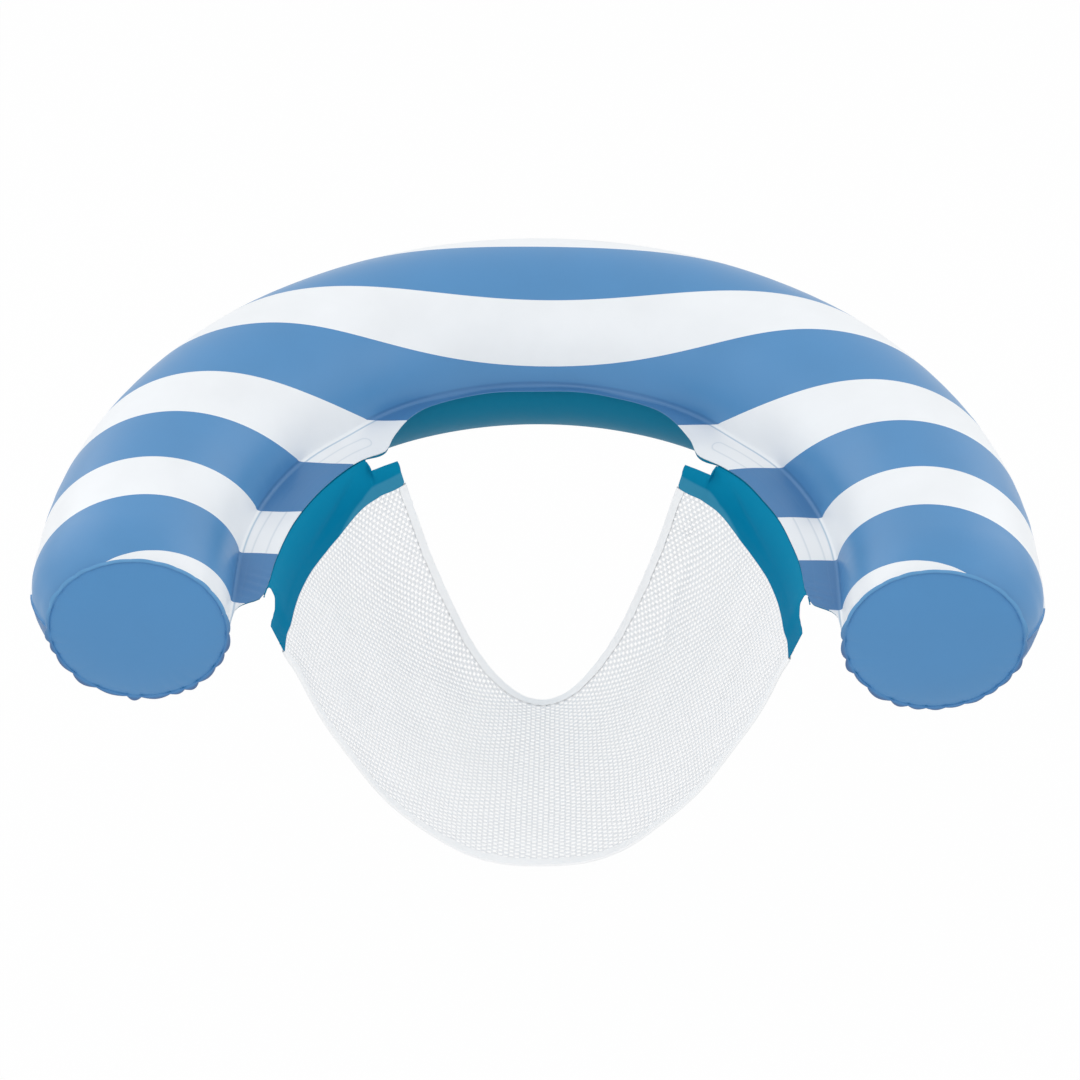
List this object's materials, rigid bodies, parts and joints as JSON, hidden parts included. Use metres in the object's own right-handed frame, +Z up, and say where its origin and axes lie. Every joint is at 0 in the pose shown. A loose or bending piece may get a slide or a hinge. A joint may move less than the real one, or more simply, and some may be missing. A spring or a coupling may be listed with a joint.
{
  "type": "inflatable pool armchair",
  "caption": "Horseshoe air tube with a flat web inside it and a hanging net seat; striped upper skin, closed arm ends and a recessed air valve.",
  "frame": {"origin": "middle of the seat opening, on the plane of the tube's welds, which is near the waterline of the floating chair", "axes": "+Z up; -Y towards the open front, where the sitter looks; +X towards the sitter's left arm"},
  "size_m": [1.026, 0.643, 0.4629],
  "materials": {
    "striped_vinyl": "satin vinyl film, printed with blue and white bands",
    "teal_vinyl": "satin vinyl film, teal",
    "blue_vinyl": "satin vinyl film, blue",
    "teal_band": "satin vinyl film, bright teal",
    "white_net": "knitted polyester net",
    "white_tape": "white edging tape",
    "valve_vinyl": "moulded soft vinyl"
  },
  "bodies": {
    "float": {"upper_skin": "striped_vinyl", "lower_skin": "teal_vinyl", "end_cap_left": "blue_vinyl", "end_cap_right": "blue_vinyl", "seat_band_left": "teal_band", "seat_band_right": "teal_band", "seat_net": "white_net", "front_hem": "white_tape", "rear_hem": "white_tape", "valve_flange": "valve_vinyl"},
    "stem": {"valve_stem": "valve_vinyl"},
    "plug": {"valve_plug": "valve_vinyl"},
    "flap": {"check_flap": "valve_vinyl"}
  },
  "joints": [
    {"name": "stem_pull", "type": "slide", "parent": "float", "child": "stem", "axis": [0.0344, 0.6084, -0.7929], "range_m": [0, 0.0135]},
    {"name": "plug_swing", "type": "hinge", "parent": "stem", "child": "plug", "pos_m": [0.01428, 0.4889, -0.0856], "axis": [0.0438, 0.7917, 0.6093], "range_deg": [0, 140]},
    {"name": "flap_swing", "type": "hinge", "parent": "stem", "child": "flap", "pos_m": [0.01834, 0.47561, -0.06863], "axis": [-0.0438, -0.7917, -0.6093], "range_deg": [0, 60]}
  ]
}
